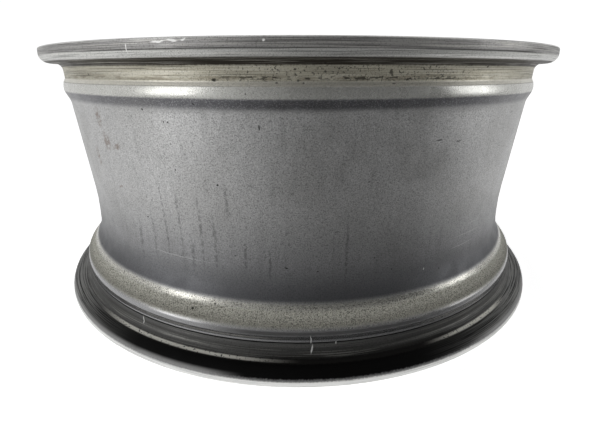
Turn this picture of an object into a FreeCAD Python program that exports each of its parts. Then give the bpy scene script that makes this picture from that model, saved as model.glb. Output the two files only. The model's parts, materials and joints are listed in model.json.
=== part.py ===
"""One-piece alloy wheel for a car, 20 x 8.5 inch, lying on its outboard lip.

The wheel axis is +Z and points inboard. The origin is on the axis, in the plane
of the outboard lip. All sizes are millimetres and degrees.
"""

import FreeCAD
import Part
import Sketcher

import math
import os

NODE = "alloy_wheel"

Y_DIRECTION = FreeCAD.Vector(0, 1, 0)
Z_DIRECTION = FreeCAD.Vector(0, 0, 1)

FULL_TURN = 360.0

# Vertex numbers and axis numbers that sketches use
START, END, CENTRE = 1, 2, 3
ORIGIN, X_AXIS = -1, -1
AXIS_OF_ZERO = {"DistanceX": -2, "DistanceY": -1}

# Ways to end a corner of an outline
SHARP = "sharp"
BEVELLED = "bevelled"
ROUNDED = "rounded"


def sharp(x_alias, y_alias):
    """A corner of an outline at two cells. None stands for zero."""
    return x_alias, y_alias, SHARP, None


def bevelled(x_alias, y_alias, setback_alias):
    """A corner that is cut straight across, at a setback along both sides."""
    return x_alias, y_alias, BEVELLED, setback_alias


def rounded(x_alias, y_alias, radius_alias):
    """A corner that is rounded by a tangent arc."""
    return x_alias, y_alias, ROUNDED, radius_alias


# Driving sizes: alias, value, meaning
SIZES = [
    ("bead_seat_diameter", 507.3, "diameter of both bead seats at their flange"),
    ("rim_width", 215.9, "distance between the two flange faces"),
    ("wheel_offset", 35.0, "hub face outboard of the middle plane of the rim"),
    ("flange_height", 17.5, "flange tip above the bead seat"),
    ("flange_width", 13.0, "flange face to the end of the rim"),
    ("flange_round", 11.0, "size of the rounded outboard flange shoulder"),
    ("inboard_flange_round", 8.0, "size of the rounded inboard flange shoulder"),
    ("tip_edge", 1.6, "bevel on the outer edge of the flange tips"),
    ("lip_width", 13.5, "flat ring that ends the outboard flange"),
    ("inboard_lip_width", 11.5, "flat ring that ends the inboard flange"),
    ("bead_bevel", 4.5, "bevel between bead seat and flange"),
    ("bead_taper", 5.0, "taper of the bead seats"),
    ("seat_length", 13.4, "flange face to the end of the bead seat"),
    ("hump_reach", 21.0, "flange face to the crest of the outboard hump"),
    ("hump_height", 2.3, "safety humps above the end of their bead seat"),
    ("hump_bevel", 2.6, "bevel that flattens the outboard hump crest"),
    ("ledge_slope", 38.0, "slope from the outboard hump down to the well"),
    ("ledge_bevel", 4.6, "bevel at the foot of the ledge"),
    ("well_depth", 16.55, "drop centre below the bead seat"),
    ("well_reach", 81.2, "outboard flange face to the end of the drop centre"),
    ("cone_end_depth", 3.55, "wide end of the barrel cone below the bead seat"),
    ("step_reach", 33.9, "inboard flange face to the foot of the inboard hump"),
    ("inboard_hump_reach", 22.4, "inboard flange face to the crest of the inboard hump"),
    ("weight_ledge_depth", 6.4, "ledge for balance weights below the inboard end"),
    ("weight_ledge_slope", 3.5, "radial run of the wall above that ledge"),
    ("barrel_wall", 6.15, "rim wall at its inboard end, below the bead seat"),
    ("well_wall", 8.1, "rim wall where the barrel meets the spokes"),
    ("disc_rim_back", 52.0, "back of the spokes at the rim, above the lip plane"),
    ("disc_rim_bevel", 9.0, "bevel between spoke backs and rim"),
    ("disc_rim_front", 14.0, "front of the spokes at the rim, above the lip plane"),
    ("lip_cone_run", 17.65, "radial run of the cone inside the outboard lip"),
    ("hub_pad_diameter", 150.0, "flat hub pad on the mounting face"),
    ("hub_pad_drop", 16.0, "mounting face to the back of the spokes"),
    ("hub_pad_run", 11.0, "radial run of the slope round the hub pad"),
    ("hub_thickness", 48.0, "mounting face to the front of the hub"),
    ("hub_front_diameter", 156.0, "flat front of the hub"),
    ("centre_bore_diameter", 67.1, "bore that centres the wheel on the axle hub"),
    ("bore_edge", 1.5, "bevel at the mouth of the centre bore"),
    ("cap_recess_diameter", 73.0, "recess in front of the centre bore"),
    ("cap_recess_depth", 9.0, "depth of that recess"),
    ("spoke_count", 5, "number of spokes and of windows"),
    ("spoke_width", 50.0, "spoke width, measured at the wheel axis"),
    ("spoke_flare", 1.5, "angle by which each spoke side leaves its axis"),
    ("window_inner_radius", 92.5, "hub end of the windows"),
    ("window_rim_gap", 6.0, "rim left between a window and the barrel wall"),
    ("window_corner", 12.0, "corner radius of the windows"),
    ("lug_count", 5, "number of lug holes"),
    ("lug_circle_diameter", 114.3, "pitch circle of the lug holes"),
    ("lug_hole_diameter", 14.8, "through hole for the wheel stud"),
    ("lug_pocket_diameter", 30.0, "counterbore for the nut and its socket"),
    ("lug_seat_half_angle", 30.0, "half angle of the conical nut seat"),
    ("lug_land", 21.0, "mounting face to the start of that seat"),
    ("hub_pocket_inner_reach", 44.0, "axis to the inner side of the pockets in the hub pad"),
    ("hub_pocket_outer_reach", 68.0, "axis to the outer side of the pockets in the hub pad"),
    ("hub_pocket_inner_width", 17.0, "width of such a pocket at its inner side"),
    ("hub_pocket_outer_width", 30.0, "width of such a pocket at its outer side"),
    ("hub_pocket_corner", 5.0, "corner radius of such a pocket"),
    ("hub_pocket_depth", 26.0, "depth of the pockets in the hub pad"),
    ("spoke_pocket_width", 26.0, "width of the hollow in the back of a spoke"),
    ("spoke_pocket_start", 104.0, "hub end of that hollow"),
    ("spoke_pocket_end_gap", 22.0, "rim end of that hollow to the barrel wall"),
    ("spoke_pocket_corner", 9.0, "corner radius of that hollow"),
    ("spoke_skin", 13.0, "metal left in front of that hollow"),
    ("valve_azimuth", -7.0, "direction of the valve hole round the axis"),
    ("valve_hole_diameter", 11.5, "valve hole"),
    ("valve_face_diameter", 22.0, "spot face for the valve collar"),
    ("valve_land", 5.0, "metal left between ledge and spot face"),
    ("valve_reach", 36.0, "ledge to the far end of the spot face, in the window"),
]

# Places worked out from the driving sizes: alias, formula
PLACES = [
    ("seat_radius", "bead_seat_diameter / 2"),
    ("tip_radius", "seat_radius + flange_height"),
    ("outboard_face", "flange_width"),
    ("inboard_face", "flange_width + rim_width"),
    ("inboard_end", "rim_width + 2 * flange_width"),
    ("tip_flat_radius", "tip_radius - tip_edge"),
    ("outboard_tip", "outboard_face - flange_round"),
    ("outboard_shoulder", "outboard_face - flange_round * (1 - sin(45))"),
    ("outboard_shoulder_radius", "tip_radius - flange_round * (1 - cos(45))"),
    ("outboard_foot_radius", "tip_radius - flange_round"),
    ("inboard_tip", "inboard_face + inboard_flange_round"),
    ("inboard_shoulder", "inboard_face + inboard_flange_round * (1 - sin(45))"),
    ("inboard_shoulder_radius", "tip_radius - inboard_flange_round * (1 - cos(45))"),
    ("inboard_foot_radius", "tip_radius - inboard_flange_round"),
    ("lip_inner_radius", "tip_radius - lip_width"),
    ("seat_end_radius", "seat_radius - seat_length * tan(bead_taper)"),
    ("seat_end", "outboard_face + seat_length"),
    ("hump_radius", "seat_end_radius + hump_height"),
    ("hump_crest", "outboard_face + hump_reach"),
    ("well_radius", "seat_radius - well_depth"),
    ("ledge_run", "(hump_radius - well_radius) / tan(ledge_slope)"),
    ("well_start", "hump_crest + ledge_run"),
    ("well_end", "outboard_face + well_reach"),
    ("cone_end_radius", "seat_radius - cone_end_depth"),
    ("step_foot", "inboard_face - step_reach"),
    ("inboard_hump_crest", "inboard_face - inboard_hump_reach"),
    ("inboard_seat_end", "inboard_face - seat_length"),
    ("inboard_lip_radius", "tip_radius - inboard_lip_width"),
    ("weight_ledge", "inboard_end - weight_ledge_depth"),
    ("weight_ledge_radius", "inboard_lip_radius - weight_ledge_slope"),
    ("barrel_top_radius", "seat_radius - barrel_wall"),
    ("barrel_radius", "well_radius - well_wall"),
    ("rim_bevel_top", "disc_rim_back + disc_rim_bevel"),
    ("rim_bevel_radius", "barrel_radius - disc_rim_bevel"),
    ("mount_face", "inboard_end / 2 - wheel_offset"),
    ("hub_back", "mount_face - hub_pad_drop"),
    ("hub_pad_radius", "hub_pad_diameter / 2"),
    ("hub_back_radius", "hub_pad_radius + hub_pad_run"),
    ("bore_radius", "centre_bore_diameter / 2"),
    ("hub_front", "mount_face - hub_thickness"),
    ("cap_seat", "hub_front + cap_recess_depth"),
    ("cap_radius", "cap_recess_diameter / 2"),
    ("hub_front_radius", "hub_front_diameter / 2"),
    ("disc_front_radius", "lip_inner_radius - lip_cone_run"),
    ("spoke_pitch", "360 / spoke_count"),
    ("window_outer_radius", "barrel_radius - window_rim_gap"),
    ("window_side_angle", "spoke_pitch / 2 - spoke_flare"),
    ("spoke_half_width", "spoke_width / 2"),
    ("window_depth", "mount_face"),
    ("lug_half_pitch", "180 / lug_count"),
    ("lug_circle_radius", "lug_circle_diameter / 2"),
    ("lug_hole_radius", "lug_hole_diameter / 2"),
    ("lug_pocket_radius", "lug_pocket_diameter / 2"),
    ("lug_floor", "mount_face - lug_land"),
    ("lug_seat_end", "lug_floor + (lug_pocket_radius - lug_hole_radius) / tan(lug_seat_half_angle)"),
    ("front_slope", "atan((hub_front - disc_rim_front) / (disc_front_radius - hub_front_radius))"),
    ("lug_top", "mount_face + lug_land"),
    ("hub_pocket_inner_left", "hub_pocket_inner_width / 2"),
    ("hub_pocket_inner_right", "-hub_pocket_inner_width / 2"),
    ("hub_pocket_outer_left", "hub_pocket_outer_width / 2"),
    ("hub_pocket_outer_right", "-hub_pocket_outer_width / 2"),
    ("spoke_floor", "hub_front + hub_front_radius * tan(front_slope) + spoke_skin / cos(front_slope)"),
    ("spoke_pocket_end", "barrel_radius - spoke_pocket_end_gap"),
    ("spoke_pocket_left", "spoke_pocket_width / 2"),
    ("spoke_pocket_right", "-spoke_pocket_width / 2"),
    ("valve_radius", "(hump_radius + well_radius) / 2"),
    ("valve_level", "(hump_crest + well_start) / 2"),
    ("valve_tilt", "90 - ledge_slope"),
    ("valve_turn", "spoke_pitch / 2"),
    ("valve_hole_radius", "valve_hole_diameter / 2"),
    ("valve_face_radius", "valve_face_diameter / 2"),
    ("valve_hole_length", "valve_reach + valve_land"),
    ("valve_face_length", "valve_reach - valve_land"),
    ("valve_end_radius", "valve_radius - valve_reach * sin(valve_tilt)"),
    ("valve_end_x", "valve_end_radius * cos(valve_turn)"),
    ("valve_end_y", "valve_end_radius * sin(valve_turn)"),
    ("valve_end_z", "valve_level - valve_reach * cos(valve_tilt)"),
    ("wheel_turn", "valve_azimuth - valve_turn"),
]

# Section of the wheel, from the foot of the outboard lip up the tyre side
SECTION = [
    sharp("lip_inner_radius", None),
    sharp("tip_flat_radius", None),
    sharp("tip_radius", "outboard_tip"),
    sharp("outboard_shoulder_radius", "outboard_shoulder"),
    sharp("outboard_foot_radius", "outboard_face"),
    bevelled("seat_radius", "outboard_face", "bead_bevel"),
    sharp("seat_end_radius", "seat_end"),
    bevelled("hump_radius", "hump_crest", "hump_bevel"),
    bevelled("well_radius", "well_start", "ledge_bevel"),
    sharp("well_radius", "well_end"),
    sharp("cone_end_radius", "step_foot"),
    sharp("hump_radius", "inboard_hump_crest"),
    sharp("seat_end_radius", "inboard_seat_end"),
    bevelled("seat_radius", "inboard_face", "bead_bevel"),
    sharp("inboard_foot_radius", "inboard_face"),
    sharp("inboard_shoulder_radius", "inboard_shoulder"),
    sharp("tip_radius", "inboard_tip"),
    bevelled("tip_radius", "inboard_end", "tip_edge"),
    sharp("inboard_lip_radius", "inboard_end"),
    sharp("weight_ledge_radius", "weight_ledge"),
    sharp("barrel_top_radius", "weight_ledge"),
    sharp("barrel_radius", "rim_bevel_top"),
    sharp("rim_bevel_radius", "disc_rim_back"),
    sharp("hub_back_radius", "hub_back"),
    sharp("hub_pad_radius", "mount_face"),
    bevelled("bore_radius", "mount_face", "bore_edge"),
    sharp("bore_radius", "cap_seat"),
    sharp("cap_radius", "cap_seat"),
    sharp("cap_radius", "hub_front"),
    sharp("hub_front_radius", "hub_front"),
    sharp("disc_front_radius", "disc_rim_front"),
]

# Hollow in the back of a spoke, in the plane of its floor
SPOKE_POCKET = [
    rounded("spoke_pocket_start", "spoke_pocket_right", "spoke_pocket_corner"),
    rounded("spoke_pocket_end", "spoke_pocket_right", "spoke_pocket_corner"),
    rounded("spoke_pocket_end", "spoke_pocket_left", "spoke_pocket_corner"),
    rounded("spoke_pocket_start", "spoke_pocket_left", "spoke_pocket_corner"),
]

# Pocket in the hub pad between two lug holes
HUB_POCKET = [
    rounded("hub_pocket_inner_reach", "hub_pocket_inner_right", "hub_pocket_corner"),
    rounded("hub_pocket_outer_reach", "hub_pocket_outer_right", "hub_pocket_corner"),
    rounded("hub_pocket_outer_reach", "hub_pocket_outer_left", "hub_pocket_corner"),
    rounded("hub_pocket_inner_reach", "hub_pocket_inner_left", "hub_pocket_corner"),
]

# Half section of a lug hole about its own axis, from the lip plane upwards
LUG_HOLE = [
    sharp(None, None),
    sharp("lug_pocket_radius", None),
    sharp("lug_pocket_radius", "lug_floor"),
    sharp("lug_hole_radius", "lug_seat_end"),
    sharp("lug_hole_radius", "lug_top"),
    sharp(None, "lug_top"),
]


def make_sheet(document):
    """The spreadsheet with the driving sizes and the places worked out from them."""
    sheet = document.addObject("Spreadsheet::Sheet", "Sizes")
    rows = [(alias, str(value), meaning) for alias, value, meaning in SIZES]
    rows += [(alias, "=" + formula, "worked out") for alias, formula in PLACES]
    for row, (alias, content, meaning) in enumerate(rows, start=1):
        sheet.set(f"A{row}", alias)
        sheet.set(f"B{row}", content)
        sheet.set(f"C{row}", meaning)
        sheet.setAlias(f"B{row}", alias)
    document.recompute()
    return sheet


def size(alias):
    """The number that a cell of the spreadsheet holds."""
    value = getattr(sheet, alias)
    return float(getattr(value, "Value", value))


def origin_feature(role):
    """A plane or an axis of the body's own origin."""
    for feature in body.Origin.OriginFeatures:
        if feature.Role == role:
            return feature
    raise ValueError(role)


def new_sketch(name, plane_role):
    """An empty sketch on one of the body's origin planes."""
    sketch = body.newObject("Sketcher::SketchObject", name)
    sketch.AttachmentSupport = [(origin_feature(plane_role), "")]
    sketch.MapMode = "FlatFace"
    return sketch


def bind(sketch, names):
    """Ties each named constraint of a sketch to its cell."""
    for name, alias in names.items():
        sketch.setExpression(f"Constraints.{name}", f"{sheet.Name}.{alias}")


def corner_point(corner):
    """Where a corner of an outline lies."""
    x_alias, y_alias = corner[:2]
    x = size(x_alias) if x_alias else 0.0
    y = size(y_alias) if y_alias else 0.0
    return FreeCAD.Vector(x, y, 0)


def tangent_arc(arrival, arriving, departure, leaving, radius):
    """The arc from one straight run into the next, and its vertices in the order of travel."""
    side = 1 if arriving.cross(leaving).z > 0 else -1
    centre = arrival + FreeCAD.Vector(-arriving.y, arriving.x, 0) * radius * side
    angles = [math.atan2(end.y - centre.y, end.x - centre.x) for end in (arrival, departure)]
    circle = Part.Circle(centre, Z_DIRECTION, radius)
    return Part.ArcOfCircle(circle, *angles[::side]), (START, END)[::side]


def driven(kind, name, alias, *geometry):
    """A named constraint with the value of a cell."""
    value = math.radians(size(alias)) if kind == "Angle" else size(alias)
    constraint = Sketcher.Constraint(kind, *geometry, value)
    constraint.Name = name
    return constraint


def hold_point(names, geometry, vertex, x_alias, y_alias):
    """Constraints that hold one sketch point at two cells, noting their names."""
    held = []
    for kind, alias in (("DistanceX", x_alias), ("DistanceY", y_alias)):
        if alias is None:
            held.append(Sketcher.Constraint("PointOnObject", geometry, vertex, AXIS_OF_ZERO[kind]))
            continue
        name = f"{kind}_{geometry}_{vertex}"
        names[name] = alias
        held.append(driven(kind, name, alias, geometry, vertex))
    return held


def draw_outline(sketch, corners):
    """A closed outline of straight runs between corners, each held at its cells."""
    points = [corner_point(corner) for corner in corners]
    count = len(corners)
    runs = [(points[(i + 1) % count] - points[i]).normalize() for i in range(count)]
    reaches = []
    for i, (_, _, ending, alias) in enumerate(corners):
        half_turn = runs[i - 1].getAngle(runs[i]) / 2
        factor = {SHARP: 0.0, BEVELLED: 1.0, ROUNDED: math.tan(half_turn)}[ending]
        reaches.append(factor * size(alias) if alias else 0.0)
    arrivals = [points[i] - runs[i - 1] * reaches[i] for i in range(count)]
    departures = [points[i] + runs[i] * reaches[i] for i in range(count)]
    lines = [
        sketch.addGeometry(Part.LineSegment(departures[i], arrivals[(i + 1) % count]), False)
        for i in range(count)
    ]

    names = {}
    constraints = []
    for i, (x_alias, y_alias, ending, alias) in enumerate(corners):
        before = lines[i - 1]
        after = lines[i]
        if ending == SHARP:
            constraints.append(Sketcher.Constraint("Coincident", before, END, after, START))
            constraints += hold_point(names, after, START, x_alias, y_alias)
            continue
        corner = sketch.addGeometry(Part.Point(points[i]), True)
        constraints += hold_point(names, corner, START, x_alias, y_alias)
        constraints.append(Sketcher.Constraint("PointOnObject", corner, START, before))
        constraints.append(Sketcher.Constraint("PointOnObject", corner, START, after))
        if ending == ROUNDED:
            shape, (first, last) = tangent_arc(arrivals[i], runs[i - 1], departures[i], runs[i], size(alias))
            arc = sketch.addGeometry(shape, False)
            constraints.append(Sketcher.Constraint("Tangent", before, END, arc, first))
            constraints.append(Sketcher.Constraint("Tangent", arc, last, after, START))
            names[f"radius_{i}"] = alias
            constraints.append(driven("Radius", f"radius_{i}", alias, arc))
            continue
        bevel = sketch.addGeometry(Part.LineSegment(arrivals[i], departures[i]), False)
        constraints.append(Sketcher.Constraint("Coincident", before, END, bevel, START))
        constraints.append(Sketcher.Constraint("Coincident", bevel, END, after, START))
        for end, vertex in (("arrival", START), ("departure", END)):
            names[f"{end}_{i}"] = alias
            constraints.append(driven("Distance", f"{end}_{i}", alias, corner, START, bevel, vertex))
    sketch.addConstraint(constraints)
    bind(sketch, names)


def side_corner(side_angle, side_offset, radius, reach):
    """Centre of a round that touches a window side and lies at a given reach from the axis."""
    along = FreeCAD.Vector(math.cos(side_angle), math.sin(side_angle), 0)
    inward = FreeCAD.Vector(along.y, -along.x, 0)
    offset = side_offset + radius
    return inward * offset + along * math.sqrt(reach**2 - offset**2), inward


def window_outline(sketch):
    """One window between two spokes: two straight sides, two arcs about the axis, four rounds."""
    angle = math.radians(size("window_side_angle"))
    offset = size("spoke_half_width")
    radius = size("window_corner")
    outer = size("window_outer_radius")
    inner = size("window_inner_radius")
    outer_centre, inward = side_corner(angle, offset, radius, outer - radius)
    inner_centre, _ = side_corner(angle, offset, radius, inner + radius)

    def mirrored(point):
        """The same point on the other side of the window."""
        return FreeCAD.Vector(point.x, -point.y, 0)

    def arc(centre, reach, first, last):
        """An arc that runs counterclockwise from one point to another."""
        angles = [math.atan2(end.y - centre.y, end.x - centre.x) for end in (first, last)]
        return Part.ArcOfCircle(Part.Circle(centre, Z_DIRECTION, reach), *angles)

    side_out = outer_centre - inward * radius
    side_in = inner_centre - inward * radius
    rim_end = outer_centre * (outer / (outer - radius))
    hub_end = inner_centre * (inner / (inner + radius))
    axis = FreeCAD.Vector(0, 0, 0)
    upper = sketch.addGeometry(Part.LineSegment(side_out, side_in), False)
    lower = sketch.addGeometry(Part.LineSegment(mirrored(side_in), mirrored(side_out)), False)
    rim_arc = sketch.addGeometry(arc(axis, outer, mirrored(rim_end), rim_end), False)
    hub_arc = sketch.addGeometry(arc(axis, inner, mirrored(hub_end), hub_end), False)
    rim_upper = sketch.addGeometry(arc(outer_centre, radius, rim_end, side_out), False)
    hub_upper = sketch.addGeometry(arc(inner_centre, radius, side_in, hub_end), False)
    hub_lower = sketch.addGeometry(
        arc(mirrored(inner_centre), radius, mirrored(hub_end), mirrored(side_in)), False)
    rim_lower = sketch.addGeometry(
        arc(mirrored(outer_centre), radius, mirrored(side_out), mirrored(rim_end)), False)

    constraints = [
        Sketcher.Constraint("Tangent", rim_arc, END, rim_upper, START),
        Sketcher.Constraint("Tangent", rim_upper, END, upper, START),
        Sketcher.Constraint("Tangent", upper, END, hub_upper, START),
        Sketcher.Constraint("Tangent", hub_upper, END, hub_arc, END),
        Sketcher.Constraint("Tangent", hub_arc, START, hub_lower, START),
        Sketcher.Constraint("Tangent", hub_lower, END, lower, START),
        Sketcher.Constraint("Tangent", lower, END, rim_lower, START),
        Sketcher.Constraint("Tangent", rim_lower, END, rim_arc, START),
        Sketcher.Constraint("Coincident", rim_arc, CENTRE, ORIGIN, START),
        Sketcher.Constraint("Coincident", hub_arc, CENTRE, ORIGIN, START),
        Sketcher.Constraint("Equal", rim_upper, hub_upper),
        Sketcher.Constraint("Equal", rim_upper, hub_lower),
        Sketcher.Constraint("Equal", rim_upper, rim_lower),
    ]
    dimensions = [
        ("Radius", "corner", "window_corner", rim_upper),
        ("Radius", "rim_end", "window_outer_radius", rim_arc),
        ("Radius", "hub_end", "window_inner_radius", hub_arc),
        ("Distance", "upper_side", "spoke_half_width", ORIGIN, START, upper),
        ("Distance", "lower_side", "spoke_half_width", ORIGIN, START, lower),
        ("Angle", "upper_angle", "window_side_angle", X_AXIS, START, upper, END),
        ("Angle", "lower_angle", "window_side_angle", lower, START, X_AXIS, START),
    ]
    names = {}
    for kind, name, alias, *geometry in dimensions:
        names[name] = alias
        constraints.append(driven(kind, name, alias, *geometry))
    sketch.addConstraint(constraints)
    bind(sketch, names)


def cell(alias):
    """The expression that reads a cell."""
    return f"{sheet.Name}.{alias}"


def move_sketch(sketch, axis, turn_alias, **base_aliases):
    """Turns a sketch about an axis of its plane and shifts it, both tied to cells."""
    turn = size(turn_alias) if turn_alias else 0.0
    base = FreeCAD.Vector(0, 0, 0)
    for direction, alias in base_aliases.items():
        setattr(base, direction, size(alias))
    sketch.AttachmentOffset = FreeCAD.Placement(base, FreeCAD.Rotation(axis, turn))
    if turn_alias:
        sketch.setExpression("AttachmentOffset.Rotation.Angle", cell(turn_alias))
    for direction, alias in base_aliases.items():
        sketch.setExpression(f"AttachmentOffset.Base.{direction}", cell(alias))


def cut(kind, name, sketch, **settings):
    """A pocket or a groove of the body, which has to take metal away."""
    before = body.Shape.Volume
    feature = body.newObject(kind, name)
    feature.Profile = sketch
    for setting, value in settings.items():
        if isinstance(value, str) and hasattr(sheet, value):
            feature.setExpression(setting, cell(value))
        else:
            setattr(feature, setting, value)
    doc.recompute()
    if body.Shape.Volume >= before:
        raise RuntimeError(f"{name} cuts nothing")
    return feature


def repeat(feature, count_alias):
    """Repeats a cut evenly round the wheel axis."""
    pattern = body.newObject("PartDesign::PolarPattern", f"{feature.Name}_ring")
    pattern.Originals = [feature]
    pattern.Axis = (origin_feature("Z_Axis"), [""])
    pattern.Angle = FULL_TURN
    pattern.setExpression("Occurrences", cell(count_alias))
    body.Tip = pattern
    doc.recompute()
    return pattern


def make_casting():
    """Rim, disc and hub, turned as one section."""
    sketch = new_sketch("wheel_section", "XZ_Plane")
    draw_outline(sketch, SECTION)
    casting = body.newObject("PartDesign::Revolution", "casting")
    casting.Profile = sketch
    casting.ReferenceAxis = (sketch, ["V_Axis"])
    casting.Angle = FULL_TURN
    doc.recompute()


def cut_windows():
    """Windows between the spokes."""
    sketch = new_sketch("window_outline", "XY_Plane")
    move_sketch(sketch, Z_DIRECTION, "valve_turn")
    window_outline(sketch)
    pocket = cut("PartDesign::Pocket", "window", sketch, Reversed=True, Length="window_depth")
    repeat(pocket, "spoke_count")


def cut_spoke_backs():
    """Hollows in the backs of the spokes, parallel to the spoke fronts."""
    sketch = new_sketch("spoke_pocket_outline", "XY_Plane")
    move_sketch(sketch, Y_DIRECTION, "front_slope", z="spoke_floor")
    draw_outline(sketch, SPOKE_POCKET)
    pocket = cut("PartDesign::Pocket", "spoke_pocket", sketch, Reversed=True, Length="window_depth")
    repeat(pocket, "spoke_count")


def cut_hub_pad():
    """Pockets in the hub pad between the lug holes."""
    sketch = new_sketch("hub_pocket_outline", "XY_Plane")
    move_sketch(sketch, Z_DIRECTION, "lug_half_pitch", z="mount_face")
    draw_outline(sketch, HUB_POCKET)
    pocket = cut("PartDesign::Pocket", "hub_pocket", sketch, Length="hub_pocket_depth")
    repeat(pocket, "lug_count")


def cut_lug_holes():
    """Lug holes with a conical seat at the floor of a counterbore."""
    sketch = new_sketch("lug_hole_section", "XZ_Plane")
    move_sketch(sketch, Z_DIRECTION, None, x="lug_circle_radius")
    draw_outline(sketch, LUG_HOLE)
    groove = cut("PartDesign::Groove", "lug_hole", sketch,
                 ReferenceAxis=(sketch, ["V_Axis"]), Angle=FULL_TURN)
    repeat(groove, "lug_count")


def drill_valve_hole():
    """Valve hole square to the ledge, with a spot face that opens into a window."""
    turn = math.radians(size("valve_turn"))
    tilt_axis = FreeCAD.Vector(-math.sin(turn), math.cos(turn), 0)
    base = FreeCAD.Vector(size("valve_end_x"), size("valve_end_y"), size("valve_end_z"))
    for name in ("valve_face", "valve_hole"):
        before = body.Shape.Volume
        drill = body.newObject("PartDesign::SubtractiveCylinder", name)
        drill.Placement = FreeCAD.Placement(base, FreeCAD.Rotation(tilt_axis, size("valve_tilt")))
        drill.setExpression("Radius", cell(f"{name}_radius"))
        drill.setExpression("Height", cell(f"{name}_length"))
        drill.setExpression("Placement.Rotation.Angle", cell("valve_tilt"))
        for direction in "xyz":
            drill.setExpression(f"Placement.Base.{direction}", cell(f"valve_end_{direction}"))
        doc.recompute()
        if body.Shape.Volume >= before:
            raise RuntimeError(f"{name} cuts nothing")


def turn_wheel():
    """Turns the whole wheel so that its valve hole points the right way."""
    body.Placement = FreeCAD.Placement(FreeCAD.Vector(), FreeCAD.Rotation(Z_DIRECTION, size("wheel_turn")))
    body.setExpression("Placement.Rotation.Angle", cell("wheel_turn"))
    doc.recompute()


def export_wheel():
    """Writes the wheel once every object of the document is sound."""
    for item in doc.Objects:
        if "Invalid" in item.State or "Error" in item.State:
            raise RuntimeError(f"{item.Name} failed")
    if body.Shape.isNull() or not body.Shape.isValid() or len(body.Shape.Solids) != 1:
        raise RuntimeError(f"{body.Label} is not one valid solid")
    os.makedirs("parts", exist_ok=True)
    body.Shape.exportStep(f"parts/{body.Label}.step")


doc = FreeCAD.newDocument("wheel")
sheet = make_sheet(doc)
body = doc.addObject("PartDesign::Body", NODE)
make_casting()
cut_windows()
cut_spoke_backs()
cut_hub_pad()
cut_lug_holes()
drill_valve_hole()
turn_wheel()
export_wheel()
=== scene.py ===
"""Looks of a used alloy wheel that lies on its outboard lip, built round its frame.

Lengths in named values are millimetres unless a name says otherwise. The wheel
axis is +Z, the camera looks along +Y, and angles round the axis are measured
from the side that faces the camera, positive to the right. A place on the tyre
side of the rim is given by that angle, its turn, and by the length along the
section from the outboard lip, its run.
"""

import json
import math
from collections import namedtuple

import bmesh
import bpy
import numpy
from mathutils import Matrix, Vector


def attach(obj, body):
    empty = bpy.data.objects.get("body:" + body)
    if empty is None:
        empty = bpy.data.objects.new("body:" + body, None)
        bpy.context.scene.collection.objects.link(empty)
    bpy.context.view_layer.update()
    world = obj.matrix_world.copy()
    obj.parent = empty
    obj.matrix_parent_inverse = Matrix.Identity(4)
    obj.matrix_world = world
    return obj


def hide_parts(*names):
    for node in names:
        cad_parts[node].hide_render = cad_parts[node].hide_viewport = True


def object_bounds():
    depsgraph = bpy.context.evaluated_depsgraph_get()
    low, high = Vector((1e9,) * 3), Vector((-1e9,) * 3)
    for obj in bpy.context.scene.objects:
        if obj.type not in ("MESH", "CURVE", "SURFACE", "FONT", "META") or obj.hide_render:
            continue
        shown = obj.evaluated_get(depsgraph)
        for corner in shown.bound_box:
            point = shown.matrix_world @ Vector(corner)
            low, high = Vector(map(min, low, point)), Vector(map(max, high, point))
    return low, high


MM = 0.001
NODE = "alloy_wheel"

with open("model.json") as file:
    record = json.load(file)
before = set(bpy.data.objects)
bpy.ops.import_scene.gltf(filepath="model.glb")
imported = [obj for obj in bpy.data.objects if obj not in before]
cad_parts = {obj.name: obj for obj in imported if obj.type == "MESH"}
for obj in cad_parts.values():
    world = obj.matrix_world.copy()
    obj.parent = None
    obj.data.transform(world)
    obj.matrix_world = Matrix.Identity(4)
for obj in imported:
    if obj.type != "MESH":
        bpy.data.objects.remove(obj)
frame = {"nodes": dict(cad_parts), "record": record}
cad_low, cad_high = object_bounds()
mounts = {mount["name"]: mount for mount in frame["record"]["mounts"]}

# Sizes read from the frame
TIP_RADIUS = cad_high.x / MM
WHEEL_HEIGHT = cad_high.z / MM
OUTBOARD_FACE = mounts["outboard_bead_seat"]["pos_m"][2] / MM
INBOARD_FACE = mounts["inboard_bead_seat"]["pos_m"][2] / MM
HUB_FACE = mounts["hub_face"]["pos_m"][2] / MM
BORE_RADIUS = mounts["centre_bore"]["dims"]["r_mm"]
VALVE_RADIUS = mounts["valve_hole"]["dims"]["r_mm"]
VALVE_LAND = mounts["valve_hole"]["dims"]["length_mm"]
VALVE_CENTRE = Vector(mounts["valve_hole"]["pos_m"]) / MM
VALVE_AXIS = Vector(mounts["valve_hole"]["axis"])

# Tyre side of the rim
FLANGE_HEIGHT = 17.5
SEAT_LENGTH = 13.4
SEAT_DROP = 1.17
HUMP_HEIGHT = 2.3
HUMP_REACH = 20.4
WELL_DEPTH = 16.55
WELL_START = 56.63
WELL_END = 94.2
STEP_DEPTH = 3.55
STEP_REACH = 33.9
INBOARD_HUMP_START_REACH = 24.3
INBOARD_HUMP_END_REACH = 18.1
TIP_EDGE = 1.6
SEAT_RADIUS = TIP_RADIUS - FLANGE_HEIGHT
SEAT_END_RADIUS = SEAT_RADIUS - SEAT_DROP
HUMP_RADIUS = SEAT_END_RADIUS + HUMP_HEIGHT
WELL_RADIUS = SEAT_RADIUS - WELL_DEPTH
STEP_RADIUS = SEAT_RADIUS - STEP_DEPTH
LIP_EDGE_RADIUS = TIP_RADIUS - TIP_EDGE

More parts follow.
